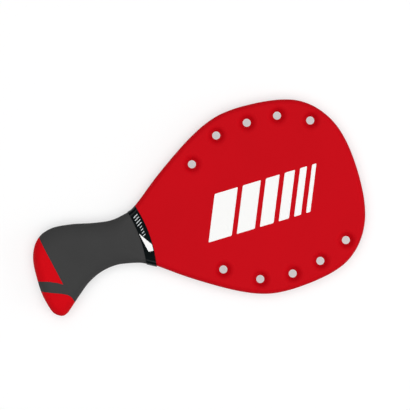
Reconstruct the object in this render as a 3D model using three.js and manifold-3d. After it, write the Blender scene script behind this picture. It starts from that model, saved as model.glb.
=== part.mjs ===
// Frescobol racket with a pistol grip: a moulded sandwich blade with ten holes near its rim, a two-colour
// rubber grip and a finishing tape round the throat.
//
// Millimetres. +X runs from the butt to the tip of the head, +Y across the face towards the heel of the grip,
// and +Z out of the front face. The origin lies under the middle of the racket, on what it is laid on.

import * as THREE from "three";
import { mergeVertices } from "three/addons/utils/BufferGeometryUtils.js";
import Module from "manifold-3d";

const wasm = await Module();
wasm.setup();

// Overall sizes
const headLength = 244; // throat station to tip
const headWidth = 213;
const gripLength = 136; // throat station to butt
const throatWidth = 79; // across the flanks at the throat station

// Blade: two skins bonded over a foam core
const bladeThickness = 14;
const rimRounding = 6.5; // how far the rim's curve reaches in from the edge
const skinThickness = 1.2;
const sparWidth = 2.5; // tow laid round the edge, inside the skins
const bondLine = 0.3; // film of adhesive between bonded pieces

// Holes, drilled through potted bushes. Each mouth is a cone that is rounded over at the face.
const holeDiameter = 9;
const boreLength = 1.2; // left straight between the two mouths
const mouthSlope = THREE.MathUtils.degToRad(52); // cone's, from the face
const mouthRounding = 7.5;
const bushLand = 0.4; // how far a bush runs out under the skins, past where a mouth cuts through them
const widestWeb = 7.8; // foam left between the spar and the bush furthest from it

// Tang: the blade's narrow tail, which runs down inside the grip
const cheekWall = 4.3; // left of the cheeks beside the tang, at the waist
const tangSetback = 18; // butt to the tang's end
const tangCorner = 8;

// Grip
const gripThickness = 27.6;
const waistThickness = 25.2;
const waistRise = 26.6; // heights above and below the head's axis
const waistDrop = 23.4;
const heelRise = 37.4;
const toeDrop = 60.7;
const buttDrop = 19; // where the butt reaches furthest back
const buttRounding = 13;
const palmRounding = 21; // how far the sides' curve reaches in from the edges
const sleeveThickness = 1.8;
const inlayGap = 0.3;

// Finishing tape, laid on an arc across the throat
const tapeWidth = 11.2;
const tapeThickness = 0.4;
const tapeSetback = 0.3; // throat station to the tape's edge
const tapeArcRadius = 146;
const tapeTilt = THREE.MathUtils.degToRad(2);
const tapeMiddle = -4; // height at which the arc reaches furthest forward
const sleeveLap = 4; // how far the sleeve runs in under the tape

// Smoothness
const outlineSteps = 60;
const rimSteps = 3;
const ribCount = 20;
const curveSteps = 5;
const edgeSteps = 40;
const holeSegments = 14;
const mouthSteps = 2;
const arcSteps = 12;
const fieldSteps = 12;

const overrun = 5; // how far a cutter runs past what it cuts

// Sizes that follow from those above
const tipX = (headLength + gripLength) / 2;
const throatX = tipX - headLength;
const buttX = throatX - gripLength;
const halfThroat = throatWidth / 2;
const halfBlade = bladeThickness / 2;
const halfWaist = waistThickness / 2;
const halfGrip = gripThickness / 2;
const liningInset = sleeveThickness + bondLine; // grip's surface to what the sleeve is drawn over
const fillInset = skinThickness + bondLine; // blade's surface to what the skins enclose
const coreInset = fillInset + sparWidth + bondLine; // head's outline to the foam's
const coneDepth = halfBlade - boreLength / 2 - mouthRounding * (1 - Math.cos(mouthSlope));
const mouthRadius = holeDiameter / 2 + coneDepth / Math.tan(mouthSlope) + mouthRounding * Math.sin(mouthSlope);
const halfTang = halfBlade - liningInset; // of its thickness
const tangReach = waistDrop - liningInset - cheekWall; // half of its width
const halfHead = headWidth / 2;
const reachZ = halfGrip + overrun; // how far cutters run above and below the middle

// Half of the head's outline, from the throat to just before the tip: shares of its length and half width
const headShares = [
  [0.0926, 0.5315],
  [0.1742, 0.659],
  [0.2574, 0.78],
  [0.3221, 0.863],
  [0.3893, 0.934],
  [0.4594, 0.982],
  [0.537, 1],
  [0.6066, 0.997],
  [0.6803, 0.982],
  [0.7529, 0.953],
  [0.8238, 0.897],
  [0.8832, 0.804],
  [0.9344, 0.667],
  [0.9684, 0.515],
  [0.9877, 0.352],
  [0.9971, 0.183],
];
const neckShares = [-0.074, 0.68]; // where the flanks end inside the grip: shares of head length, half throat

// Holes of each side, from the throat to the tip: shares of the head's length and of the widest web
const heelHoleShares = [
  [0.278, 1],
  [0.4235, 0.47],
  [0.575, 0.655],
  [0.718, 0.465],
  [0.858, 0.22],
];
const toeHoleShares = [
  [0.2765, 0.715],
  [0.4265, 0.3],
  [0.577, 0.33],
  [0.7155, 0.475],
  [0.856, 0.09],
];

// The grip's edges, from the throat to the butt: shares of its length, and heights by the size they follow
const heelEdge = [
  [0, halfThroat],
  [0.081, 0.8 * halfThroat],
  [0.163, 1.075 * waistRise],
  [0.272, waistRise],
  [0.424, 0.791 * heelRise],
  [0.596, 0.939 * heelRise],
  [0.757, heelRise],
  [0.856, 0.912 * heelRise],
  [0.924, 0.719 * heelRise],
  [0.968, 0.444 * heelRise],
  [0.991, 0.134 * heelRise],
  [1, -buttDrop],
];
const toeEdge = [
  [0, -halfThroat],
  [0.062, -0.88 * halfThroat],
  [0.129, -0.75 * halfThroat],
  [0.213, -1.12 * waistDrop],
  [0.343, -waistDrop],
  [0.474, -0.425 * toeDrop],
  [0.595, -0.545 * toeDrop],
  [0.701, -0.722 * toeDrop],
  [0.803, -0.911 * toeDrop],
  [0.838, -0.972 * toeDrop],
  [0.879, -toeDrop],
  [0.92, -0.962 * toeDrop],
  [0.951, -0.891 * toeDrop],
  [0.979, -0.703 * toeDrop],
  [0.9956, -0.511 * toeDrop],
  [1, -buttDrop],
];

// Where the grip swells from the blade's thickness to its own: shares of its length
const swellShares = { start: 0.09, waist: 0.27, palm: 0.6 };
const roundedShare = 0.49; // most of a rib's width that one rounded side takes up

// Red fields of the grip: shares of its length and of the toe's drop. Both run out past the butt.
const heelFieldShares = [
  [0.796, -0.446],
  [0.9, 0.741],
  [1.12, 0.741],
  [1.12, -0.21],
];
const heelFieldCurveShares = [
  [0.99, -0.26],
  [0.901, -0.3205],
  [0.862, -0.363],
  [0.838, -0.386],
];
const toeFieldShares = [
  [1.12, -1.4],
  [0.7, -1.4],
];
const toeFieldCurveShares = [
  [0.744, -0.93],
  [0.754, -0.815],
  [0.762, -0.726],
  [0.781, -0.663],
  [0.818, -0.611],
  [0.899, -0.537],
  [0.985, -0.459],
  [1.12, -0.37],
];

// Turns a three.js geometry into a solid for joining and cutting
function solidFrom(geometry) {
  const bare = geometry.clone();
  bare.deleteAttribute("normal");
  bare.deleteAttribute("uv");
  const merged = mergeVertices(bare);
  const vertProperties = merged.getAttribute("position").array;
  const triVerts = new Uint32Array(merged.index.array);
  return new wasm.Manifold(new wasm.Mesh({ numProp: 3, vertProperties, triVerts }));
}

// Turns a solid back into a geometry
function geometryFrom(solid) {
  const mesh = solid.getMesh();
  const geometry = new THREE.BufferGeometry();
  geometry.setAttribute("position", new THREE.BufferAttribute(mesh.vertProperties, mesh.numProp));
  geometry.setIndex(new THREE.BufferAttribute(mesh.triVerts, 1));
  geometry.computeVertexNormals();
  return geometry;
}

// Closed solid over rings of equal count, drawn to a point at the end if an apex is given. Each ring runs
// anticlockwise as seen from the last ring's end, and flatten gives its points on paper, seen from there.
function loft(rings, flatten, apex) {
  const count = rings[0].length;
  const points = rings.flat();
  const faces = [];
  const capOf = (ring) => THREE.ShapeUtils.triangulateShape(ring.map(flatten), []);
  for (let i = 0; i + 1 < rings.length; i++) {
    for (let j = 0; j < count; j++) {
      const here = i * count + j;
      const beside = i * count + ((j + 1) % count);
      faces.push(here, beside, beside + count, here, beside + count, here + count);
    }
  }
  for (const [a, b, c] of capOf(rings[0])) faces.push(a, c, b);
  const last = (rings.length - 1) * count;
  if (apex) {
    for (let j = 0; j < count; j++) faces.push(last + j, last + ((j + 1) % count), points.length);
    points.push(apex);
  } else {
    for (const [a, b, c] of capOf(rings.at(-1))) faces.push(last + a, last + b, last + c);
  }
  const geometry = new THREE.BufferGeometry().setFromPoints(points);
  geometry.setIndex(faces);
  return solidFrom(geometry);
}

// Solid standing over a plan outline
function prism(outline, bottom, top) {
  const settings = { depth: top - bottom, bevelEnabled: false };
  const geometry = new THREE.ExtrudeGeometry(new THREE.Shape(outline), settings);
  geometry.translate(0, 0, bottom);
  return solidFrom(geometry);
}

// Smooth line through plan points, sampled evenly
function smoothLine(points, steps) {
  const places = points.map(([x, y]) => new THREE.Vector3(x, y, 0));
  const curve = new THREE.CatmullRomCurve3(places, false, "centripetal");
  return curve.getSpacedPoints(steps).map((p) => new THREE.Vector2(p.x, p.y));
}

// Moves every side of an anticlockwise outline inwards by the same distance
function insetOutline(outline, distance) {
  const inward = (from, to) => new THREE.Vector2(from.y - to.y, to.x - from.x).normalize();
  return outline.map((point, i) => {
    const before = inward(outline.at(i - 1), point);
    const after = inward(point, outline[(i + 1) % outline.length]);
    const middle = before.clone().add(after).normalize();
    return point.clone().addScaledVector(middle, distance / middle.dot(before));
  });
}

// Head outline, anticlockwise from the neck's end on the toe's side
const upperHead = [
  [throatX + neckShares[0] * headLength, neckShares[1] * halfThroat],
  [throatX, halfThroat],
  ...headShares.map(([along, across]) => [throatX + along * headLength, across * halfHead]),
];
const lowerHead = upperHead.map(([x, y]) => [x, -y]);
const headOutline = smoothLine([...lowerHead, [tipX, 0], ...upperHead.reverse()], outlineSteps);
const neckEndX = headOutline[0].x;

// Grip outline, anticlockwise from the throat: down the heel's edge to the butt and back up the toe's
const alongGrip = ([along, y]) => [throatX - along * gripLength, y];
const heelLine = smoothLine(heelEdge.map(alongGrip), edgeSteps);
const toeLine = smoothLine(toeEdge.map(alongGrip), edgeSteps);
const gripOutline = [...heelLine, ...toeLine.reverse().slice(1)];

// Blade's form: its outline with a fully rounded rim, drawn in by an inset all round
function headForm(inset) {
  const rings = [];
  for (let i = -rimSteps; i <= rimSteps; i++) {
    const turn = (i / rimSteps) * (Math.PI / 2);
    const ring = insetOutline(headOutline, inset + (rimRounding - inset) * (1 - Math.cos(turn)));
    const z = (halfBlade - inset) * Math.sin(turn);
    rings.push(ring.map((p) => new THREE.Vector3(p.x, p.y, z)));
  }
  return loft(rings, (p) => new THREE.Vector2(p.x, p.y));
}

// Half thickness of the grip at a share of its length, before the butt is rounded off
function gripSwell(share) {
  const toWaist = THREE.MathUtils.smoothstep(share, swellShares.start, swellShares.waist);
  const toPalm = THREE.MathUtils.smoothstep(share, swellShares.waist, swellShares.palm);
  return halfBlade + (halfWaist - halfBlade) * toWaist + (halfGrip - halfWaist) * toPalm;
}

// Height at which one edge of an outline crosses a station
function heightAt(edge, x) {
  const k = Math.max(1, edge.findIndex((p) => p.x <= x));
  const share = (edge[k - 1].x - x) / (edge[k - 1].x - edge[k].x);
  return THREE.MathUtils.lerp(edge[k - 1].y, edge[k].y, share);
}

// One rib of the grip: flat faces between sides rounded as quarter ellipses
function gripRib(x, heel, toe, rise, rounding) {
  const rib = [];
  const addSide = (middle, start) => {
    for (let i = 0; i <= 2 * curveSteps; i++) {
      const turn = start + (i / curveSteps) * (Math.PI / 2);
      rib.push(new THREE.Vector3(x, middle + rounding * Math.cos(turn), rise * Math.sin(turn)));
    }
  };
  addSide(heel - rounding, -Math.PI / 2);
  addSide(toe + rounding, Math.PI / 2);
  return rib.reverse();
}

// Grip's form, lofted from the throat to the butt and drawn in by an inset all round
function gripForm(inset) {
  const outline = insetOutline(gripOutline, inset);
  const heelSide = outline.slice(0, heelLine.length);
  const toeSide = [...outline.slice(heelLine.length).reverse(), heelSide.at(-1)];
  const front = heelSide[0].x;
  const back = heelSide.at(-1);
  const ribs = [];
  for (let i = 0; i < ribCount; i++) {
    const x = THREE.MathUtils.lerp(front, back.x, Math.sin((i / ribCount) * (Math.PI / 2)));
    const heel = heightAt(heelSide, x);
    const toe = heightAt(toeSide, x);
    const share = (throatX - x) / gripLength;
    const fromButt = Math.min(1, (x - back.x) / (buttRounding - inset));
    const butt = Math.sqrt(1 - (1 - fromButt) ** 2);
    const palm = THREE.MathUtils.smoothstep(share, swellShares.start, swellShares.waist);
    const rounding = THREE.MathUtils.lerp(rimRounding, palmRounding, palm) - inset;
    const widest = roundedShare * (heel - toe);
    ribs.push(gripRib(x, heel, toe, (gripSwell(share) - inset) * butt, Math.min(rounding, widest)));
  }
  return loft(ribs, (p) => new THREE.Vector2(-p.y, p.z), new THREE.Vector3(back.x, back.y, 0));
}

// Tang's form, drawn in by an inset all round
function tangForm(inset) {
  const end = buttX + tangSetback + inset;
  const half = tangReach - inset;
  const corner = tangCorner - inset;
  const plan = new THREE.Shape();
  plan.moveTo(throatX, -half);
  plan.lineTo(throatX, half);
  plan.lineTo(end + corner, half);
  plan.absarc(end + corner, half - corner, corner, Math.PI / 2, Math.PI);
  plan.absarc(end + corner, corner - half, corner, Math.PI, 1.5 * Math.PI);
  return prism(plan.extractPoints(curveSteps).shape, inset - halfTang, halfTang - inset);
}

// Everything on the grip's side of the throat arc, set back from the throat station
function gripSide(setback) {
  const reach = toeDrop + overrun;
  const crown = new THREE.Vector2(throatX - setback, tapeMiddle);
  const toCentre = new THREE.Vector2(-Math.cos(tapeTilt), -Math.sin(tapeTilt));
  const centre = crown.addScaledVector(toCentre, tapeArcRadius);
  const shape = new THREE.Shape();
  const span = Math.asin(reach / tapeArcRadius);
  shape.absarc(centre.x, centre.y, tapeArcRadius, -span, span);
  shape.lineTo(buttX - overrun, centre.y + reach);
  shape.lineTo(buttX - overrun, centre.y - reach);
  return prism(shape.extractPoints(arcSteps).shape, -reachZ, reachZ);
}

// Everything between two heights
function slab(bottom, top) {
  const x = tipX + overrun;
  const y = halfHead + overrun;
  const corners = [[-x, -y], [x, -y], [x, y], [-x, y]];
  return prism(corners.map(([cornerX, cornerY]) => new THREE.Vector2(cornerX, cornerY)), bottom, top);
}

// Round solid about the Z axis, from a profile of radii and heights that starts and ends on the axis
function revolve(profile) {
  const geometry = new THREE.LatheGeometry(profile.map(([r, z]) => new THREE.Vector2(r, z)), holeSegments);
  geometry.rotateX(Math.PI / 2);
  return solidFrom(geometry);
}

// Radius and height at which the rounding of a mouth has a slope, from the cone's to none at the face
function mouthPoint(slope) {
  return [mouthRadius - mouthRounding * Math.sin(slope), halfBlade - mouthRounding * (1 - Math.cos(slope))];
}

// Hole and its two rounded mouths, as the solid that is taken away
function holeCutter() {
  const upper = [[holeDiameter / 2, boreLength / 2]];
  for (let i = mouthSteps; i >= 0; i--) upper.push(mouthPoint((i / mouthSteps) * mouthSlope));
  upper.push([mouthRadius, halfBlade + overrun], [0, halfBlade + overrun]);
  const lower = upper.map(([r, z]) => [r, -z]).reverse();
  return revolve([...lower, ...upper]);
}

// Plain round plug, for the bushes and their seats
function plug(radius, halfHeight) {
  return revolve([[0, -halfHeight], [radius, -halfHeight], [radius, halfHeight], [0, halfHeight]]);
}

// A bush reaches out under the skins, past where the mouth cuts through them
const [skinOpening] = mouthPoint(Math.acos(1 - skinThickness / mouthRounding));
const bushRadius = skinOpening + bushLand;
const seatRadius = bushRadius + bondLine;

// Centre of a hole, with its web of foam between the bush and the spar
function holeCentre([along, webShare], side) {
  const inset = coreInset + webShare * widestWeb + seatRadius;
  const line = insetOutline(headOutline, inset).slice(outlineSteps / 2);
  const x = throatX + along * headLength;
  return new THREE.Vector2(x, side * heightAt(line, x));
}
const heelHoles = heelHoleShares.map((shares) => holeCentre(shares, 1));
const toeHoles = toeHoleShares.map((shares) => holeCentre(shares, -1));
const holeCentres = [...heelHoles, ...toeHoles];

// Puts a copy of one solid at every hole and joins them
const atHoles = (solid) => wasm.Manifold.union(holeCentres.map(({ x, y }) => solid.translate([x, y, 0])));

// Half spaces on either side of the parting line, with a film of adhesive between them
const frontHalf = slab(bondLine / 2, reachZ);
const backHalf = slab(-reachZ, -bondLine / 2);

// Blade from its rim down to the tang's end, drawn in by an inset all round. It steps down at the seam, so
// that the sleeve lies flush on it.
const seamSetback = tapeSetback + tapeWidth - sleeveLap;
function bladeForm(inset) {
  const head = headForm(inset).subtract(gripSide(seamSetback - inset));
  return head.add(headForm(liningInset + inset)).add(tangForm(inset));
}

// Both skins in one, before the parting line
function skinShell() {
  return bladeForm(0).subtract(bladeForm(skinThickness)).subtract(atHoles(holeCutter()));
}

// What the skins enclose in the head, up to the throat, and where the bushes go through it
const headFill = headForm(fillInset).subtract(gripSide(seamSetback - fillInset));
const bushSeats = atHoles(plug(seatRadius, halfBlade));

// Tow laid round the head's edge, down both flanks to the throat
function rimSpar() {
  const within = insetOutline(headOutline, fillInset + sparWidth);
  return headFill.subtract(prism(within, -halfBlade, halfBlade)).subtract(bushSeats);
}

// Foam board that the spar goes round
function foamCore() {
  const within = insetOutline(headOutline, coreInset);
  return headFill.intersect(prism(within, -halfBlade, halfBlade)).subtract(bushSeats);
}

// Filler of the neck and the tang
function tangCore() {
  const fill = headForm(liningInset + fillInset).add(tangForm(fillInset));
  return fill.intersect(gripSide(seamSetback - fillInset + bondLine));
}

// Bush potted into the core between the skins, with the hole's two mouths in it
function holeBush() {
  return plug(bushRadius, halfBlade - fillInset).subtract(holeCutter());
}

// Body of the grip: both cheeks in one, before the parting line, seated on the tang and the neck's end
function gripCheeks() {
  const frontX = neckEndX + liningInset - bondLine;
  const behindNeck = slab(-reachZ, reachZ).translate([frontX - tipX - overrun, 0, 0]);
  const seat = headForm(liningInset - bondLine).add(tangForm(-bondLine));
  return gripForm(liningInset).intersect(behindNeck).subtract(seat);
}

// Red fields: outlines from their shares, and the solids that cut them out of the sleeve
function fieldOutline(cornerShares, curveShares) {
  const toPlace = ([along, across]) => [throatX - along * gripLength, across * toeDrop];
  const corners = cornerShares.map(toPlace).map(([x, y]) => new THREE.Vector2(x, y));
  const outline = [...corners, ...smoothLine(curveShares.map(toPlace), fieldSteps)];
  return THREE.ShapeUtils.isClockWise(outline) ? outline.reverse() : outline;
}
const heelField = fieldOutline(heelFieldShares, heelFieldCurveShares);
const toeField = fieldOutline(toeFieldShares, toeFieldCurveShares);
const fieldSolid = (outline, gap) => prism(insetOutline(outline, gap), -reachZ, reachZ);

// Rubber cover of the grip, from its mouth under the tape to the butt
const cover = gripForm(0).subtract(gripForm(sleeveThickness)).intersect(gripSide(seamSetback + bondLine));

// What the cover keeps once both fields are cut out of it
function gripSleeve() {
  return cover.subtract(fieldSolid(heelField, 0)).subtract(fieldSolid(toeField, 0));
}

// Tape: a thin band over the seam between the blade and the sleeve
function throatTape() {
  const wrapped = (gap) => headForm(-gap).add(gripForm(-gap));
  const band = gripSide(tapeSetback).subtract(gripSide(tapeSetback + tapeWidth));
  return wrapped(bondLine + tapeThickness).subtract(wrapped(bondLine)).intersect(band);
}

// Finishes
const finish = (color, roughness, metalness = 0) => () =>
  new THREE.MeshStandardMaterial({ color, roughness, metalness });
const redLacquer = finish("#c8101a", 0.42);
const redRubber = finish("#ca0d1c", 0.6);
const greyRubber = finish("#3f3f3f", 0.75);
const glossFilm = finish("#051817", 0.15);
const paleFoam = finish("#d9d2c0", 0.9);
const pottingResin = finish("#b8121b", 0.4);
const carbonTow = finish("#22252a", 0.5);

// Racket, modelled about the middle of its thickness and raised to lie on its grip
const racket = new THREE.Group();
racket.position.z = halfGrip;

function addPiece(name, solid, material) {
  const mesh = new THREE.Mesh(geometryFrom(solid), material());
  mesh.name = name;
  racket.add(mesh);
  return mesh;
}

const shell = skinShell();
addPiece("front_skin", shell.intersect(frontHalf), redLacquer);
addPiece("back_skin", shell.intersect(backHalf), redLacquer);
addPiece("foam_core", foamCore(), paleFoam);
addPiece("rim_spar", rimSpar(), carbonTow);
addPiece("tang_core", tangCore(), paleFoam);

const bush = holeBush();
holeCentres.forEach(({ x, y }, i) => {
  const name = `hole_bush_${String(i + 1).padStart(2, "0")}`;
  addPiece(name, bush, pottingResin).position.set(x, y, 0);
});

const cheeks = gripCheeks();
addPiece("grip_cheek_front", cheeks.intersect(frontHalf), paleFoam);
addPiece("grip_cheek_back", cheeks.intersect(backHalf), paleFoam);
addPiece("grip_sleeve", gripSleeve(), greyRubber);
addPiece("heel_inlay", cover.intersect(fieldSolid(heelField, inlayGap)), redRubber);
addPiece("toe_cap", cover.intersect(fieldSolid(toeField, inlayGap)), redRubber);
addPiece("throat_tape", throatTape(), glossFilm);

export default racket;
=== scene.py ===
"""Looks of a frescobol racket that lies face up on a pale floor, seen from straight above.

Lengths are in millimetres until a mesh is made. +X runs from the butt to the tip of the head, +Y towards the
heel of the grip, and heights are counted from the middle of the blade's thickness.
"""

import math

import bpy
import numpy as np
from mathutils import Matrix, Vector


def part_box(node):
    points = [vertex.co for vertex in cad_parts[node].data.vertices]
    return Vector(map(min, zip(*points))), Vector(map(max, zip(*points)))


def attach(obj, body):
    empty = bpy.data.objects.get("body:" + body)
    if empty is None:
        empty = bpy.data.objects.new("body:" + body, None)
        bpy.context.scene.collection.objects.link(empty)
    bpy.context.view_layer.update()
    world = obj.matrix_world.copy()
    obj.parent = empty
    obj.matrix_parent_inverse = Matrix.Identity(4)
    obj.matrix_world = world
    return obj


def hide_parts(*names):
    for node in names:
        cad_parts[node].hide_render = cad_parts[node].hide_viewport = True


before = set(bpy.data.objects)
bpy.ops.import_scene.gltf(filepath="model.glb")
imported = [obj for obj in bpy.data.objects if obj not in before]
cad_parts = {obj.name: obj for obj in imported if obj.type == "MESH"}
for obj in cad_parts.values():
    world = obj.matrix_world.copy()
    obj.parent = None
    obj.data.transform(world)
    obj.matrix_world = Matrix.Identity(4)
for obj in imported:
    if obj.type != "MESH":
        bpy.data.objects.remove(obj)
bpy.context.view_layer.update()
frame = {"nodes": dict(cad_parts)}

MM = 0.001

# Head, grip and throat
HEAD_LENGTH = 244
HEAD_WIDTH = 213
GRIP_LENGTH = 136
THROAT_WIDTH = 79

# Blade
BLADE_THICKNESS = 14
RIM_ROUNDING = 6.5
SKIN_THICKNESS = 1.2
BOND_LINE = 0.3
PARTING_LINE = 0.08  # what still shows of the seam round the rim once it is filled and lacquered

# Holes
HOLE_DIAMETER = 9
BORE_LENGTH = 1.2  # left straight between the two mouths
MOUTH_SLOPE = math.radians(52)  # of a mouth's cone, from the face
MOUTH_ROUNDING = 7.5
BUSH_LAND = 0.4  # how far a bush runs out under the skins, past where a mouth cuts through them
BUSH_COUNT = 10

# Tang
CHEEK_WALL = 4.3
TANG_SETBACK = 18
TANG_CORNER = 8

# Grip
GRIP_THICKNESS = 27.6
WAIST_THICKNESS = 25.2
WAIST_RISE = 26.6
WAIST_DROP = 23.4
HEEL_RISE = 37.4
TOE_DROP = 60.7
BUTT_DROP = 19
BUTT_ROUNDING = 13
PALM_ROUNDING = 21
SLEEVE_THICKNESS = 1.8
INLAY_GAP = 0.1  # seam between the grey rubber and a red field

# Finishing tape
TAPE_WIDTH = 11.2
TAPE_THICKNESS = 0.4
TAPE_SETBACK = 0.3
TAPE_ARC_RADIUS = 146
TAPE_TILT = math.radians(2)
TAPE_MIDDLE = -4
SLEEVE_LAP = 4

# Smoothness
OUTLINE_STEPS = 320
RIM_STEPS = 12
RIB_COUNT = 120
CURVE_STEPS = 20
EDGE_STEPS = 160
SPAN_STEPS = 32
HOLE_SEGMENTS = 64
MOUTH_STEPS = 16
ARC_STEPS = 60
FIELD_STEPS = 48
CORNER_STEPS = 6
SHARP_ANGLE = math.radians(35)

OVERRUN = 5  # how far a cutter runs past what it cuts

# Sizes that follow from those above
TIP_X = (HEAD_LENGTH + GRIP_LENGTH) / 2
THROAT_X = TIP_X - HEAD_LENGTH
BUTT_X = THROAT_X - GRIP_LENGTH
HALF_THROAT = THROAT_WIDTH / 2
HALF_HEAD = HEAD_WIDTH / 2
HALF_BLADE = BLADE_THICKNESS / 2
CONE_DEPTH = HALF_BLADE - BORE_LENGTH / 2 - MOUTH_ROUNDING * (1 - math.cos(MOUTH_SLOPE))
HALF_WAIST = WAIST_THICKNESS / 2
HALF_GRIP = GRIP_THICKNESS / 2
HOLE_RADIUS = HOLE_DIAMETER / 2
MOUTH_RADIUS = HOLE_RADIUS + CONE_DEPTH / math.tan(MOUTH_SLOPE) + MOUTH_ROUNDING * math.sin(MOUTH_SLOPE)
LINING_INSET = SLEEVE_THICKNESS + BOND_LINE
SEAM_SETBACK = TAPE_SETBACK + TAPE_WIDTH - SLEEVE_LAP
TANG_REACH = WAIST_DROP - LINING_INSET - CHEEK_WALL
TANG_HALF = HALF_BLADE - LINING_INSET
REACH_Z = HALF_GRIP + OVERRUN
TAPE_LIFT = BOND_LINE + TAPE_THICKNESS  # grip's surface to the tape's own

# Outlines, in shares of the lengths that they follow
HEAD_SHARES = [
    (0.0926, 0.5315),
    (0.1742, 0.659),
    (0.2574, 0.78),
    (0.3221, 0.863),
    (0.3893, 0.934),
    (0.4594, 0.982),
    (0.537, 1),
    (0.6066, 0.997),
    (0.6803, 0.982),
    (0.7529, 0.953),
    (0.8238, 0.897),
    (0.8832, 0.804),
    (0.9344, 0.667),
    (0.9684, 0.515),
    (0.9877, 0.352),
    (0.9971, 0.183),
]
NECK_SHARES = (-0.074, 0.68)
HEEL_EDGE = [
    (0, HALF_THROAT),
    (0.081, 0.8 * HALF_THROAT),
    (0.163, 1.075 * WAIST_RISE),
    (0.272, WAIST_RISE),
    (0.424, 0.791 * HEEL_RISE),
    (0.596, 0.939 * HEEL_RISE),
    (0.757, HEEL_RISE),
    (0.856, 0.912 * HEEL_RISE),
    (0.924, 0.719 * HEEL_RISE),
    (0.968, 0.444 * HEEL_RISE),
    (0.991, 0.134 * HEEL_RISE),
    (1, -BUTT_DROP),
]
TOE_EDGE = [
    (0, -HALF_THROAT),
    (0.062, -0.88 * HALF_THROAT),
    (0.129, -0.75 * HALF_THROAT),
    (0.213, -1.12 * WAIST_DROP),
    (0.343, -WAIST_DROP),
    (0.474, -0.425 * TOE_DROP),
    (0.595, -0.545 * TOE_DROP),
    (0.701, -0.722 * TOE_DROP),
    (0.803, -0.911 * TOE_DROP),
    (0.838, -0.972 * TOE_DROP),
    (0.879, -TOE_DROP),
    (0.92, -0.962 * TOE_DROP),
    (0.951, -0.891 * TOE_DROP),
    (0.979, -0.703 * TOE_DROP),
    (0.9956, -0.511 * TOE_DROP),
    (1, -BUTT_DROP),
]
SWELL_START, SWELL_WAIST, SWELL_PALM = 0.09, 0.27, 0.6
ROUNDED_SHARE = 0.49

# Red fields of the grip, in shares of its length and of the toe's drop
HEEL_FIELD = [(0.796, -0.446), (0.9, 0.741), (1.12, 0.741), (1.12, -0.21)]
HEEL_FIELD_CURVE = [(0.99, -0.26), (0.901, -0.3205), (0.862, -0.363), (0.838, -0.386)]
TOE_FIELD = [(1.12, -1.4), (0.7, -1.4)]
TOE_FIELD_CURVE = [
    (0.744, -0.93),
    (0.754, -0.815),
    (0.762, -0.726),
    (0.781, -0.663),
    (0.818, -0.611),
    (0.899, -0.537),
    (0.985, -0.459),
    (1.12, -0.37),
]

# White print on the face: slanted bars that narrow towards the tip
PRINT_MIDDLE = (77, -4)
PRINT_HEIGHT = 50
PRINT_SLANT = math.radians(24)
PRINT_BAR_WIDTHS = (27, 21, 16, 12, 8, 5)
PRINT_BAR_GAP = 6
PRINT_CORNER = 1.2
INK_THICKNESS = 0.06

# Print on the tape: silver rungs up its middle, and a white wedge below them
RUNG_LENGTHS = (6, 6, 6, 6, 3, 3, 3, 3)
RUNG_WIDTH = 1
RUNG_PITCH = 3.3
RUNG_START = 22.5  # height of the first rung above the head's axis
RUNG_SLOPE = 0.5
RUNG_CORNER = 0.25
WEDGE = [(3, -5), (-19.5, -0.6), (-19.8, 4.9), (-12.5, 4.9)]  # heights, and offsets from the tape's middle
WEDGE_CORNER = 0.6

# Patterns of the surfaces: the size of one mark and the depth of its relief
LACQUER_DRIFT = 55
ORANGE_PEEL = 2.4
PEEL_DEPTH = 0.012
RUBBER_DRIFT = 30
RUBBER_GRAIN = 0.7  # grain and pebbles are drawn about three times too coarse, or they wouldn't show
RUBBER_PEBBLE = 1.1
PEBBLE_DEPTH = 0.03
TAPE_RIPPLE = 5
RIPPLE_STRETCH = (0.25, 1, 0.6)  # scale along each axis, where less than 1 draws a mark out
RIPPLE_DEPTH = 0.04
INK_MESH = 0.8  # several times too coarse, for the same reason
MESH_DEPTH = 0.004
CORE_CELL = 0.8
CHEEK_CELL = 0.5
CELL_DEPTH = 0.3
TOW_STRAND = 0.9
STRAND_STRETCH = (0.2, 0.2, 1)
STRAND_DEPTH = 0.05

# Tones and roughness of the surfaces, each from one end of its pattern to the other
LACQUER_TONES = ("#c20714", "#cb0716")
LACQUER_ROUGHNESS = (0.56, 0.64)
LACQUER_SPECULAR = 0.04
GREY_RUBBER_TONES = ("#393939", "#3d3d3d")
GREY_RUBBER_SPECULAR = 0.15
RED_RUBBER_TONES = ("#cd0512", "#d50614")
RED_RUBBER_SPECULAR = 0.05
RUBBER_ROUGHNESS = (0.66, 0.8)
TAPE_TONES = ("#020808", "#050d0e")
TAPE_ROUGHNESS = (0.12, 0.2)
TAPE_SPECULAR = 0.14
WHITE_INK_TONES = ("#f6f6f4", "#fdfdfc")
WHITE_INK_ROUGHNESS = (0.35, 0.45)
SILVER_INK_TONES = ("#b4babb", "#ccd1d2")
SILVER_INK_ROUGHNESS = (0.3, 0.45)
SILVER_METALLIC = 0.3
CORE_FOAM_TONES = ("#cfc6b2", "#e0dac8")
CHEEK_FOAM_TONES = ("#d3cab6", "#e4decf")
FOAM_ROUGHNESS = (0.8, 0.95)
TOW_TONES = ("#16181b", "#2e3238")
TOW_ROUGHNESS = (0.3, 0.55)

# Camera, straight above: photo's width and slant, and the point that its middle looks at
LENS = 150
SENSOR = 36
VIEW_WIDTH = 459
VIEW_TURN = math.radians(-16.812)
VIEW_MIDDLE = (14.7, 12.4)

# Floor
FLOOR_SIZE = 6  # metres
FLOOR_GLOW = 0.48  # share of plain white in the floor that the camera sees, which keeps its shadows pale
GLOW_STRENGTH = 1.03  # a trace over white, so that the floor is white wherever no shadow falls
FLOOR_RETURN = 0.8  # share of its light that the floor throws back up at the racket

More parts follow.
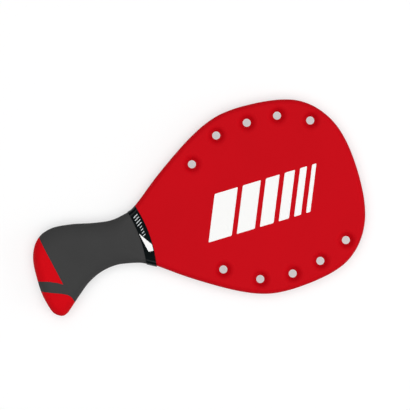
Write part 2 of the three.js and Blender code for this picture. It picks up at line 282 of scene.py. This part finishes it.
# Sky: shares of its strength by height, from the horizon to straight overhead
SKY_STRENGTH = 2.17
SKY_STOPS = [(0, 0.05), (0.3, 0.05), (0.72, 0.1), (0.84, 1.1), (0.955, 1.1), (0.985, 0.15), (1, 0.1)]

# Key light, in watts and metres
KEY_POWER = 32
KEY_SIZE = 2.4
KEY_DISTANCE = 4
KEY_ELEVATION = math.radians(25)
KEY_AZIMUTH = VIEW_TURN - math.radians(12)


def smoothstep(value, low, high):
    """Share from 0 to 1 that eases in and out between two limits."""
    share = min(1, max(0, (value - low) / (high - low)))
    return share * share * (3 - 2 * share)


def mix(a, b, share):
    """Value at a share of the way from a to b."""
    return a + (b - a) * share


def smooth_line(points, steps):
    """Centripetal Catmull-Rom line through plan points, sampled evenly."""
    knots = [np.array(point, float) for point in points]
    knots = [2 * knots[0] - knots[1], *knots, 2 * knots[-1] - knots[-2]]
    dense = []
    for before, start, end, after in zip(knots, knots[1:], knots[2:], knots[3:]):
        gap_in = math.sqrt(math.dist(before, start))
        gap = math.sqrt(math.dist(start, end))
        gap_out = math.sqrt(math.dist(end, after))
        leave = (start - before) / gap_in - (end - before) / (gap_in + gap) + (end - start) / gap
        arrive = (end - start) / gap - (after - start) / (gap + gap_out) + (after - end) / gap_out
        for share in np.arange(SPAN_STEPS) / SPAN_STEPS:
            ease = share * share * (3 - 2 * share)
            pull = leave * share * (1 - share) ** 2 - arrive * share * share * (1 - share)
            dense.append(mix(start, end, ease) + pull * gap)
    dense = np.array([*dense, knots[-2]])
    run = np.concatenate([[0], np.cumsum(np.linalg.norm(np.diff(dense, axis=0), axis=1))])
    stations = np.linspace(0, run[-1], steps + 1)
    return np.column_stack([np.interp(stations, run, dense[:, axis]) for axis in (0, 1)])


def inset_outline(outline, distance):
    """Moves every side of an anticlockwise outline inwards by the same distance."""
    side = np.roll(outline, -1, axis=0) - outline
    side = side / np.linalg.norm(side, axis=1, keepdims=True)
    inward = np.column_stack([-side[:, 1], side[:, 0]])
    before = np.roll(inward, 1, axis=0)
    middle = before + inward
    middle = middle / np.linalg.norm(middle, axis=1, keepdims=True)
    reach = distance / np.sum(middle * before, axis=1, keepdims=True)
    return outline + middle * reach


def new_object(name, points, faces):
    """Makes a mesh object from points in metres."""
    mesh = bpy.data.meshes.new(name)
    mesh.from_pydata(points, [], faces)
    made = bpy.data.objects.new(name, mesh)
    bpy.context.scene.collection.objects.link(made)
    return made


def new_solid(name, points, faces):
    """Makes a mesh object from points in millimetres about the middle of the blade."""
    lifted = (np.array(points, float) + [0, 0, HALF_GRIP]) * MM
    return new_object(name, lifted.tolist(), faces)


def loft(name, rings, apex=None):
    """Closed solid over rings of equal count, drawn to a point at the end if an apex is given."""
    count = len(rings[0])
    points = np.vstack(rings)
    faces = [list(range(count))[::-1]]
    for i in range(len(rings) - 1):
        for j in range(count):
            here = i * count + j
            beside = i * count + (j + 1) % count
            faces.append([here, beside, beside + count, here + count])
    last = len(points) - count
    if apex is None:
        faces.append([last + j for j in range(count)])
    else:
        faces.extend([last + j, last + (j + 1) % count, len(points)] for j in range(count))
        points = np.vstack([points, apex])
    return new_solid(name, points, faces)


def at_height(outline, z):
    """Outline's points at one height."""
    return np.column_stack([outline, np.full(len(outline), float(z))])


def prism(name, outline, bottom, top):
    """Solid standing over a plan outline."""
    return loft(name, [at_height(outline, bottom), at_height(outline, top)])


def slab(bottom, top):
    """Everything between two heights."""
    x = TIP_X + OVERRUN
    y = HALF_HEAD + OVERRUN
    return prism("slab", np.array([[-x, -y], [x, -y], [x, y], [-x, y]]), bottom, top)


def turned(name, profile, centre, closed_ring=False):
    """Solid of revolution about an upright axis. A profile that leaves the axis clear makes a ring."""
    turns = np.arange(HOLE_SEGMENTS) / HOLE_SEGMENTS * 2 * math.pi
    circle = np.column_stack([np.cos(turns), np.sin(turns)])
    rings = [at_height(np.array(centre) + radius * circle, z) for radius, z in profile]
    if not closed_ring:
        return loft(name, rings)
    faces = []
    for i in range(len(rings)):
        for j in range(HOLE_SEGMENTS):
            beside = (j + 1) % HOLE_SEGMENTS
            over = (i + 1) % len(rings) * HOLE_SEGMENTS
            here = i * HOLE_SEGMENTS
            faces.append([here + j, here + beside, over + beside, over + j])
    return new_solid(name, np.vstack(rings), faces)


def combine(operation, solid, *tools):
    """Joins, cuts or intersects a solid with others, which are used up."""
    for tool in tools:
        step = solid.modifiers.new("step", "BOOLEAN")
        step.operation = operation
        step.solver = "MANIFOLD"
        step.object = tool
        graph = bpy.context.evaluated_depsgraph_get()
        result = bpy.data.meshes.new_from_object(solid.evaluated_get(graph))
        solid.modifiers.clear()
        solid.data = result
        bpy.data.objects.remove(tool)
    return solid


def duplicate(solid):
    """Second copy of a solid, for another use."""
    copy = solid.copy()
    copy.data = solid.data.copy()
    bpy.context.scene.collection.objects.link(copy)
    return copy


def head_outline():
    """Head's outline, anticlockwise from the neck's end on the toe's side."""
    neck = (THROAT_X + NECK_SHARES[0] * HEAD_LENGTH, NECK_SHARES[1] * HALF_THROAT)
    shoulder = [(THROAT_X + along * HEAD_LENGTH, across * HALF_HEAD) for along, across in HEAD_SHARES]
    upper = [neck, (THROAT_X, HALF_THROAT), *shoulder]
    lower = [(x, -y) for x, y in upper]
    return smooth_line([*lower, (TIP_X, 0), *reversed(upper)], OUTLINE_STEPS)


def grip_edges():
    """Grip's heel and toe edges, each from the throat to the butt."""
    edges = []
    for edge in (HEEL_EDGE, TOE_EDGE):
        places = [(THROAT_X - along * GRIP_LENGTH, y) for along, y in edge]
        edges.append(smooth_line(places, EDGE_STEPS))
    return edges


HEAD_OUTLINE = head_outline()
HEEL_LINE, TOE_LINE = grip_edges()
GRIP_OUTLINE = np.vstack([HEEL_LINE, TOE_LINE[::-1][1:]])


def head_form(inset):
    """Blade's form: its outline with a fully rounded rim, drawn in by an inset all round."""
    rings = []
    for turn in np.linspace(-math.pi / 2, math.pi / 2, 2 * RIM_STEPS + 1):
        ring = inset_outline(HEAD_OUTLINE, inset + (RIM_ROUNDING - inset) * (1 - math.cos(turn)))
        rings.append(at_height(ring, (HALF_BLADE - inset) * math.sin(turn)))
    return loft("head_form", rings)


def grip_swell(share):
    """Half thickness of the grip at a share of its length, before the butt is rounded off."""
    to_waist = smoothstep(share, SWELL_START, SWELL_WAIST)
    to_palm = smoothstep(share, SWELL_WAIST, SWELL_PALM)
    return HALF_BLADE + (HALF_WAIST - HALF_BLADE) * to_waist + (HALF_GRIP - HALF_WAIST) * to_palm


def grip_rib(x, heel, toe, rise, rounding):
    """One rib of the grip: flat faces between sides rounded as quarter ellipses."""
    turns = np.linspace(-math.pi / 2, math.pi / 2, 2 * CURVE_STEPS + 1)
    heel_side = np.column_stack([heel - rounding * (1 - np.cos(turns)), rise * np.sin(turns)])
    toe_side = np.column_stack([toe + rounding * (1 - np.cos(turns)), -rise * np.sin(turns)])
    rib = np.vstack([heel_side, toe_side])[::-1]
    return np.column_stack([np.full(len(rib), x), rib])


def grip_form(inset):
    """Grip's form, lofted from the throat to the butt and drawn in by an inset all round."""
    outline = inset_outline(GRIP_OUTLINE, inset)
    heel_side = outline[:len(HEEL_LINE)]
    toe_side = np.vstack([outline[len(HEEL_LINE):][::-1], heel_side[-1:]])
    front = heel_side[0][0]
    back_x, back_y = heel_side[-1]
    ribs = []
    for turn in np.arange(RIB_COUNT) / RIB_COUNT * math.pi / 2:
        x = mix(front, back_x, math.sin(turn))
        heel = np.interp(-x, -heel_side[:, 0], heel_side[:, 1])
        toe = np.interp(-x, -toe_side[:, 0], toe_side[:, 1])
        share = (THROAT_X - x) / GRIP_LENGTH
        from_butt = min(1, (x - back_x) / (BUTT_ROUNDING - inset))
        butt = math.sqrt(1 - (1 - from_butt) ** 2)
        palm = smoothstep(share, SWELL_START, SWELL_WAIST)
        rounding = min(mix(RIM_ROUNDING, PALM_ROUNDING, palm) - inset, ROUNDED_SHARE * (heel - toe))
        ribs.append(grip_rib(x, heel, toe, (grip_swell(share) - inset) * butt, rounding))
    return loft("grip_form", ribs, [back_x, back_y, 0])


def tang_form(inset):
    """Tang's form, drawn in by an inset all round."""
    end = BUTT_X + TANG_SETBACK + inset
    half = TANG_REACH - inset
    corner = TANG_CORNER - inset
    quarter = np.linspace(0, math.pi / 2, CURVE_STEPS + 1)
    upper = np.column_stack([end + corner * (1 - np.sin(quarter)), half - corner * (1 - np.cos(quarter))])
    lower = upper[::-1] * [1, -1]
    plan = np.vstack([[THROAT_X, -half], [THROAT_X, half], upper, lower])
    return prism("tang_form", plan, inset - TANG_HALF, TANG_HALF - inset)


def throat_arc(setback, steps, reach):
    """Arc across the throat, set back from its station, from the toe's side up to the heel's."""
    tilted = np.array([math.cos(TAPE_TILT), math.sin(TAPE_TILT)])
    centre = np.array([THROAT_X - setback, TAPE_MIDDLE]) - TAPE_ARC_RADIUS * tilted
    span = math.asin(reach / TAPE_ARC_RADIUS)
    turns = np.linspace(-span, span, steps + 1)
    return centre + TAPE_ARC_RADIUS * np.column_stack([np.cos(turns), np.sin(turns)])


def grip_side(setback):
    """Everything on the grip's side of the throat arc."""
    arc = throat_arc(setback, ARC_STEPS, TOE_DROP + OVERRUN)
    behind = [[BUTT_X - OVERRUN, arc[-1][1]], [BUTT_X - OVERRUN, arc[0][1]]]
    return prism("grip_side", np.vstack([arc, behind]), -REACH_Z, REACH_Z)


def mouth_profile(highest):
    """Radii and heights of a hole's upper half: bore, cone, and the cone's rounding up to a height."""
    profile = [(HOLE_RADIUS, 0), (HOLE_RADIUS, BORE_LENGTH / 2)]
    shallowest = math.acos(1 - (HALF_BLADE - highest) / MOUTH_ROUNDING)
    for slope in np.linspace(MOUTH_SLOPE, shallowest, MOUTH_STEPS + 1):
        radius = MOUTH_RADIUS - MOUTH_ROUNDING * math.sin(slope)
        profile.append((radius, HALF_BLADE - MOUTH_ROUNDING * (1 - math.cos(slope))))
    return profile


def mirrored(profile):
    """Profile's lower half, in order from the bottom up."""
    return [(radius, -z) for radius, z in profile[::-1]]


def hole_centre(node):
    """Plan place of a hole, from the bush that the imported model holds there."""
    low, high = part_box(node)
    return ((low[0] + high[0]) / 2 / MM, (low[1] + high[1]) / 2 / MM)


BUSH_NODES = [f"hole_bush_{i + 1:02d}" for i in range(BUSH_COUNT)]
HOLE_CENTRES = [hole_centre(node) for node in BUSH_NODES]


def hole_cutter(centre):
    """Hole and its two rounded mouths, as the solid that is taken away."""
    upper = mouth_profile(HALF_BLADE)[1:]
    upper.append((MOUTH_RADIUS, HALF_BLADE + OVERRUN))
    return turned("hole_cutter", [*mirrored(upper), *upper], centre)


def blade_form(inset):
    """Blade from its rim down to the tang's end, stepped down where the sleeve laps over it."""
    head = combine("DIFFERENCE", head_form(inset), grip_side(SEAM_SETBACK - inset))
    return combine("UNION", head, head_form(LINING_INSET + inset), tang_form(inset))


def blade_shell():
    """Both skins in one, before the parting line."""
    shell = combine("DIFFERENCE", blade_form(0), blade_form(SKIN_THICKNESS))
    return combine("DIFFERENCE", shell, *(hole_cutter(centre) for centre in HOLE_CENTRES))


def grip_cover():
    """Rubber cover of the grip, from its mouth under the tape to the butt."""
    cover = combine("DIFFERENCE", grip_form(0), grip_form(SLEEVE_THICKNESS))
    return combine("INTERSECT", cover, grip_side(SEAM_SETBACK + BOND_LINE))


def on_grip(shares):
    """Plan points on the grip, from shares of its length and of the toe's drop."""
    return [(THROAT_X - along * GRIP_LENGTH, across * TOE_DROP) for along, across in shares]


def field_solid(corners, curve, gap):
    """Red field's outline, drawn in by a gap, as the solid that cuts it out of the cover."""
    outline = np.vstack([on_grip(corners), smooth_line(on_grip(curve), FIELD_STEPS)])
    x, y = outline.T
    if np.sum(x * np.roll(y, -1) - y * np.roll(x, -1)) < 0:
        outline = outline[::-1]
    return prism("field", inset_outline(outline, gap), -REACH_Z, REACH_Z)


def heel_field(gap):
    return field_solid(HEEL_FIELD, HEEL_FIELD_CURVE, gap)


def toe_field(gap):
    return field_solid(TOE_FIELD, TOE_FIELD_CURVE, gap)


def throat_tape():
    """Thin band wrapped over the seam between the blade and the sleeve."""
    band = combine("DIFFERENCE", grip_side(TAPE_SETBACK), grip_side(TAPE_SETBACK + TAPE_WIDTH))
    wrap = combine("DIFFERENCE", grip_form(-TAPE_LIFT), grip_form(-BOND_LINE))
    return combine("INTERSECT", wrap, band)


def hole_bush(centre):
    """Potted bush between the skins, which carries on the curve of both mouths."""
    inner_face = HALF_BLADE - SKIN_THICKNESS
    upper = mouth_profile(inner_face)
    wall = [*mirrored(upper[1:]), *upper]
    radius = upper[-1][0] + BUSH_LAND
    return turned("bush", [(radius, inner_face), (radius, -inner_face), *wall], centre, closed_ring=True)


def rounded_corners(outline, radius):
    """Polygon with each corner cut to a small arc."""
    rounded = []
    for i, corner in enumerate(outline):
        before = np.array(outline[i - 1])
        after = np.array(outline[(i + 1) % len(outline)])
        corner = np.array(corner)
        into = corner + radius * (before - corner) / math.dist(before, corner)
        out = corner + radius * (after - corner) / math.dist(after, corner)
        for share in np.linspace(0, 1, CORNER_STEPS + 1):
            rounded.append(mix(mix(into, corner, share), mix(corner, out, share), share))
    return np.array(rounded)


def gather(name, solids):
    """Several separate solids as one object."""
    points = []
    faces = []
    for solid in solids:
        start = len(points)
        points.extend(tuple(vertex.co) for vertex in solid.data.vertices)
        faces.extend([start + k for k in face.vertices] for face in solid.data.polygons)
        bpy.data.objects.remove(solid)
    return new_object(name, points, faces)


def face_print():
    """Slanted bars screened on the front face."""
    width = sum(PRINT_BAR_WIDTHS) + PRINT_BAR_GAP * (len(PRINT_BAR_WIDTHS) - 1)
    lean = PRINT_HEIGHT / 2 * math.tan(PRINT_SLANT)
    start = PRINT_MIDDLE[0] - width / 2
    bottom = PRINT_MIDDLE[1] - PRINT_HEIGHT / 2
    top = PRINT_MIDDLE[1] + PRINT_HEIGHT / 2
    bars = []
    for bar_width in PRINT_BAR_WIDTHS:
        end = start + bar_width
        bar = [(start - lean, bottom), (end - lean, bottom), (end + lean, top), (start + lean, top)]
        outline = rounded_corners(bar, PRINT_CORNER)
        bars.append(prism("bar", outline, HALF_BLADE - INK_THICKNESS / 2, HALF_BLADE + INK_THICKNESS / 2))
        start = end + PRINT_BAR_GAP
    return gather("face_print", bars)


def on_tape(height, offset):
    """Plan point at a height along the tape's middle, moved across it."""
    middle = throat_arc(TAPE_SETBACK + TAPE_WIDTH / 2, ARC_STEPS, HALF_THROAT)
    return (np.interp(height, middle[:, 1], middle[:, 0]) + offset, height)


def tape_ink(name, marks):
    """Ink on the tape's front, from the outlines of its marks."""
    face = HALF_BLADE + TAPE_LIFT
    solids = [prism("mark", mark, face - INK_THICKNESS / 2, face + INK_THICKNESS / 2) for mark in marks]
    return gather(name, solids)


def tape_rungs():
    """Slanted rungs up the tape, long ones above short ones."""
    rungs = []
    for i, length in enumerate(RUNG_LENGTHS):
        low = RUNG_START - i * RUNG_PITCH
        high = low + RUNG_WIDTH
        half = length / 2
        rise = half * RUNG_SLOPE
        rung = [on_tape(low - rise, -half), on_tape(low + rise, half)]
        rung.extend([on_tape(high + rise, half), on_tape(high - rise, -half)])
        rungs.append(rounded_corners(rung, RUNG_CORNER))
    return tape_ink("tape_rungs", rungs)


def tape_wedge():
    """Plain wedge that widens down the tape."""
    outline = [on_tape(height, offset) for height, offset in WEDGE]
    return tape_ink("tape_wedge", [rounded_corners(outline, WEDGE_CORNER)])


def linear(hex_colour):
    """Linear colour with full alpha from an sRGB hex value."""
    channels = [int(hex_colour[i:i + 2], 16) / 255 for i in (1, 3, 5)]
    return [*(c / 12.92 if c <= 0.04045 else ((c + 0.055) / 1.055) ** 2.4 for c in channels), 1]


def per_mm(size):
    """Pattern scale at which one cell measures a size in millimetres."""
    return 1 / (size * MM)


def add_node(tree, kind, inputs, **settings):
    """Adds a node with its settings. Each input takes a value or another node's output."""
    node = tree.nodes.new(kind)
    for name, value in settings.items():
        setattr(node, name, value)
    for name, value in inputs.items():
        if isinstance(value, bpy.types.NodeSocket):
            tree.links.new(value, node.inputs[name])
        else:
            node.inputs[name].default_value = value
    return node


MIX_A, MIX_B, MIX_RESULT = 6, 7, 2  # colour sockets of a Mix node


def start_material(name):
    """New material with its tree and the object's own coordinates."""
    material = bpy.data.materials.new(name)
    material.use_nodes = True
    tree = material.node_tree
    return material, tree, add_node(tree, "ShaderNodeTexCoord", {}).outputs["Object"]


def dress(tree, colour, roughness, relief):
    """Wires a surface up and returns its shader.

    Colour and roughness each run between two values along a pattern. Relief is a pattern and its depth.
    """
    shader = tree.nodes["Principled BSDF"]
    pattern, dark, light = colour
    ends = {"Factor": pattern, MIX_A: linear(dark), MIX_B: linear(light)}
    tone = add_node(tree, "ShaderNodeMix", ends, data_type="RGBA")
    pattern, lowest, highest = roughness
    gloss = add_node(tree, "ShaderNodeMapRange", {"Value": pattern, "To Min": lowest, "To Max": highest})
    pattern, depth = relief
    bump = add_node(tree, "ShaderNodeBump", {"Height": pattern, "Distance": depth * MM})
    tree.links.new(tone.outputs[MIX_RESULT], shader.inputs["Base Color"])
    tree.links.new(gloss.outputs["Result"], shader.inputs["Roughness"])
    tree.links.new(bump.outputs["Normal"], shader.inputs["Normal"])
    return shader


def sprayed_lacquer():
    """Polyurethane lacquer sprayed over the laminate: deep red, dull in sheen, with a faint orange peel."""
    material, tree, place = start_material("sprayed_polyurethane_lacquer")
    broad = {"Vector": place, "Scale": per_mm(LACQUER_DRIFT), "Detail": 2}
    drift = add_node(tree, "ShaderNodeTexNoise", broad).outputs["Fac"]
    fine = {"Vector": place, "Scale": per_mm(ORANGE_PEEL), "Detail": 1}
    peel = add_node(tree, "ShaderNodeTexNoise", fine).outputs["Fac"]
    shader = dress(tree, (drift, *LACQUER_TONES), (peel, *LACQUER_ROUGHNESS), (peel, PEEL_DEPTH))
    shader.inputs["Specular IOR Level"].default_value = LACQUER_SPECULAR
    return material


def moulded_rubber(name, tones, specular):
    """Rubber moulded in a spark-eroded tool: matt, with a fine pebbled grain that kills reflections."""
    material, tree, place = start_material(name)
    broad = {"Vector": place, "Scale": per_mm(RUBBER_DRIFT), "Detail": 3}
    drift = add_node(tree, "ShaderNodeTexNoise", broad).outputs["Fac"]
    fine = {"Vector": place, "Scale": per_mm(RUBBER_GRAIN), "Detail": 3}
    grain = add_node(tree, "ShaderNodeTexNoise", fine).outputs["Fac"]
    domes = {"Vector": place, "Scale": per_mm(RUBBER_PEBBLE)}
    pebbles = add_node(tree, "ShaderNodeTexVoronoi", domes).outputs["Distance"]
    relief = add_node(tree, "ShaderNodeMath", {0: pebbles, 1: grain}, operation="ADD").outputs[0]
    shader = dress(tree, (drift, *tones), (grain, *RUBBER_ROUGHNESS), (relief, PEBBLE_DEPTH))
    shader.inputs["Specular IOR Level"].default_value = specular
    return material


def gloss_film():
    """Stretched vinyl tape: near-black and glossy, with faint ripples that run across it."""
    material, tree, place = start_material("stretched_vinyl_tape")
    stretch = add_node(tree, "ShaderNodeMapping", {"Vector": place, "Scale": RIPPLE_STRETCH})
    marks = {"Vector": stretch.outputs["Vector"], "Scale": per_mm(TAPE_RIPPLE), "Detail": 2}
    ripple = add_node(tree, "ShaderNodeTexNoise", marks).outputs["Fac"]
    shader = dress(tree, (ripple, *TAPE_TONES), (ripple, *TAPE_ROUGHNESS), (ripple, RIPPLE_DEPTH))
    shader.inputs["Specular IOR Level"].default_value = TAPE_SPECULAR
    return material


def screen_ink(name, tones, roughness, metallic):
    """Screen-printed ink: flat and even, with a trace of the mesh it was pressed through."""
    material, tree, place = start_material(name)
    marks = {"Vector": place, "Scale": per_mm(INK_MESH), "Detail": 2}
    mesh = add_node(tree, "ShaderNodeTexNoise", marks).outputs["Fac"]
    shader = dress(tree, (mesh, *tones), (mesh, *roughness), (mesh, MESH_DEPTH))
    shader.inputs["Metallic"].default_value = metallic
    return material


def closed_cell_foam(name, cell_size, tones):
    """Rigid closed-cell foam: pale, dull and full of small cells where it was sawn."""
    material, tree, place = start_material(name)
    cells = {"Vector": place, "Scale": per_mm(cell_size)}
    cell = add_node(tree, "ShaderNodeTexVoronoi", cells).outputs["Distance"]
    dress(tree, (cell, *tones), (cell, *FOAM_ROUGHNESS), (cell, CELL_DEPTH))
    return material


def carbon_tow():
    """Carbon tow wetted out with epoxy: dark grey strands that shine along their length."""
    material, tree, place = start_material("carbon_tow")
    along = add_node(tree, "ShaderNodeMapping", {"Vector": place, "Scale": STRAND_STRETCH})
    marks = {"Vector": along.outputs["Vector"], "Scale": per_mm(TOW_STRAND), "Detail": 3}
    strand = add_node(tree, "ShaderNodeTexNoise", marks).outputs["Fac"]
    dress(tree, (strand, *TOW_TONES), (strand, *TOW_ROUGHNESS), (strand, STRAND_DEPTH))
    return material


def set_material(piece, material):
    """Gives a piece one material for all its faces."""
    piece.data.materials.clear()
    piece.data.materials.append(material)


def add_piece(piece, name, material, slot, *nodes):
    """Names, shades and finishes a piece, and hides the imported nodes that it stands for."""
    piece.name = name
    set_material(piece, material)
    piece.data.shade_smooth()
    piece.data.set_sharp_from_angle(angle=SHARP_ANGLE)
    shading = piece.modifiers.new("even_shading", "WEIGHTED_NORMAL")
    shading.keep_sharp = True
    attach(piece, "root")
    if nodes:
        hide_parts(*nodes)


def make_blade(lacquer):
    """Both skins and the ten bushes between them."""
    shell = blade_shell()
    front = combine("INTERSECT", duplicate(shell), slab(PARTING_LINE / 2, REACH_Z))
    back = combine("INTERSECT", shell, slab(-REACH_Z, -PARTING_LINE / 2))
    add_piece(front, "front_skin_lacquered", lacquer, "blade_lacquer", "front_skin")
    add_piece(back, "back_skin_lacquered", lacquer, "blade_lacquer", "back_skin")
    for node, centre in zip(BUSH_NODES, HOLE_CENTRES):
        add_piece(hole_bush(centre), f"{node}_lacquered", lacquer, "bush_resin", node)


def make_grip():
    """Sleeve, its two red fields and the tape over its mouth."""
    grey = moulded_rubber("moulded_grey_rubber", GREY_RUBBER_TONES, GREY_RUBBER_SPECULAR)
    red = moulded_rubber("moulded_red_rubber", RED_RUBBER_TONES, RED_RUBBER_SPECULAR)
    cover = grip_cover()
    heel = combine("INTERSECT", duplicate(cover), heel_field(INLAY_GAP))
    toe = combine("INTERSECT", duplicate(cover), toe_field(INLAY_GAP))
    sleeve = combine("DIFFERENCE", cover, heel_field(0), toe_field(0))
    add_piece(sleeve, "grip_sleeve_moulded", grey, "sleeve_rubber", "grip_sleeve")
    add_piece(heel, "heel_inlay_moulded", red, "inlay_rubber", "heel_inlay")
    add_piece(toe, "toe_cap_moulded", red, "inlay_rubber", "toe_cap")
    add_piece(throat_tape(), "throat_tape_wrapped", gloss_film(), "gloss_tape", "throat_tape")


def make_prints():
    """Ink on the face and on the tape."""
    white = screen_ink("white_screen_ink", WHITE_INK_TONES, WHITE_INK_ROUGHNESS, 0)
    silver = screen_ink("silver_screen_ink", SILVER_INK_TONES, SILVER_INK_ROUGHNESS, SILVER_METALLIC)
    add_piece(face_print(), "face_print", white, "white_ink")
    add_piece(tape_rungs(), "tape_rungs", silver, "silver_ink")
    add_piece(tape_wedge(), "tape_wedge", white, "white_ink")


def finish_inner_nodes():
    """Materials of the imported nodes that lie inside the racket."""
    core_foam = closed_cell_foam("core_foam", CORE_CELL, CORE_FOAM_TONES)
    cheek_foam = closed_cell_foam("cheek_foam", CHEEK_CELL, CHEEK_FOAM_TONES)
    nodes = frame["nodes"]
    set_material(nodes["foam_core"], core_foam)
    set_material(nodes["rim_spar"], carbon_tow())
    for name in ("tang_core", "grip_cheek_front", "grip_cheek_back"):
        set_material(nodes[name], cheek_foam)


def make_floor():
    """White paper. What the camera sees of it is part plain white, and its shadows stay soft."""
    half = FLOOR_SIZE / 2
    corners = [(-half, -half, 0), (half, -half, 0), (half, half, 0), (-half, half, 0)]
    floor = new_object("floor", corners, [(0, 1, 2, 3)])
    material = bpy.data.materials.new("white_paper")
    material.use_nodes = True
    tree = material.node_tree
    tree.nodes.clear()
    grey = (FLOOR_RETURN, FLOOR_RETURN, FLOOR_RETURN, 1)
    paper = add_node(tree, "ShaderNodeBsdfDiffuse", {"Color": grey})
    lit = add_node(tree, "ShaderNodeBsdfDiffuse", {"Color": (1, 1, 1, 1)})
    glow = add_node(tree, "ShaderNodeEmission", {"Color": (1, 1, 1, 1), "Strength": GLOW_STRENGTH})
    pale = {0: FLOOR_GLOW, 1: lit.outputs["BSDF"], 2: glow.outputs["Emission"]}
    seen = add_node(tree, "ShaderNodeMixShader", pale)
    path = add_node(tree, "ShaderNodeLightPath", {}).outputs
    direct = {0: path["Is Camera Ray"], 1: path["Is Glossy Ray"]}
    straight = add_node(tree, "ShaderNodeMath", direct, operation="MAXIMUM")
    through = {0: straight.outputs[0], 1: path["Is Transmission Ray"]}
    looks = add_node(tree, "ShaderNodeMath", through, operation="MAXIMUM")
    both = {0: looks.outputs[0], 1: paper.outputs["BSDF"], 2: seen.outputs["Shader"]}
    chosen = add_node(tree, "ShaderNodeMixShader", both)
    add_node(tree, "ShaderNodeOutputMaterial", {"Surface": chosen.outputs["Shader"]})
    set_material(floor, material)


def make_sky():
    """Ring of soft light above the table. The ceiling in it is dark, so that the face mirrors no haze."""
    world = bpy.data.worlds.new("studio")
    bpy.context.scene.world = world
    world.use_nodes = True
    tree = world.node_tree
    background = tree.nodes["Background"]
    place = add_node(tree, "ShaderNodeTexCoord", {}).outputs["Generated"]
    height = add_node(tree, "ShaderNodeSeparateXYZ", {0: place}).outputs["Z"]
    ramp = add_node(tree, "ShaderNodeValToRGB", {"Fac": height})
    for stop, _ in SKY_STOPS[1:-1]:
        ramp.color_ramp.elements.new(stop)
    for element, (stop, share) in zip(ramp.color_ramp.elements, SKY_STOPS):
        element.position = stop
        element.color = (share, share, share, 1)
    tree.links.new(ramp.outputs["Color"], background.inputs["Color"])
    background.inputs["Strength"].default_value = SKY_STRENGTH


def make_key_light():
    """Soft light from low down on the right of the view, a little below its middle."""
    data = bpy.data.lights.new("key", "AREA")
    data.energy = KEY_POWER
    data.size = KEY_SIZE
    key = bpy.data.objects.new("key", data)
    out = KEY_DISTANCE * math.cos(KEY_ELEVATION)
    up = KEY_DISTANCE * math.sin(KEY_ELEVATION)
    key.location = (out * math.cos(KEY_AZIMUTH), out * math.sin(KEY_AZIMUTH), up)
    key.rotation_euler = (-key.location).to_track_quat("-Z", "Y").to_euler()
    bpy.context.scene.collection.objects.link(key)


def make_camera():
    """Long lens straight above the blade, turned as in the photograph."""
    data = bpy.data.cameras.new("camera")
    data.lens = LENS
    data.sensor_width = SENSOR
    camera = bpy.data.objects.new("camera", data)
    distance = VIEW_WIDTH * MM * LENS / SENSOR
    turn = Matrix.Rotation(VIEW_TURN, 4, "Z")
    face = (HALF_GRIP + HALF_BLADE) * MM
    middle = Vector((VIEW_MIDDLE[0] * MM, VIEW_MIDDLE[1] * MM, face + distance))
    camera.matrix_world = Matrix.Translation(middle) @ turn
    bpy.context.scene.collection.objects.link(camera)
    bpy.context.scene.camera = camera


make_blade(sprayed_lacquer())
make_grip()
make_prints()
finish_inner_nodes()
make_floor()
make_sky()
make_key_light()
make_camera()

bpy.context.scene.view_settings.view_transform = "Standard"
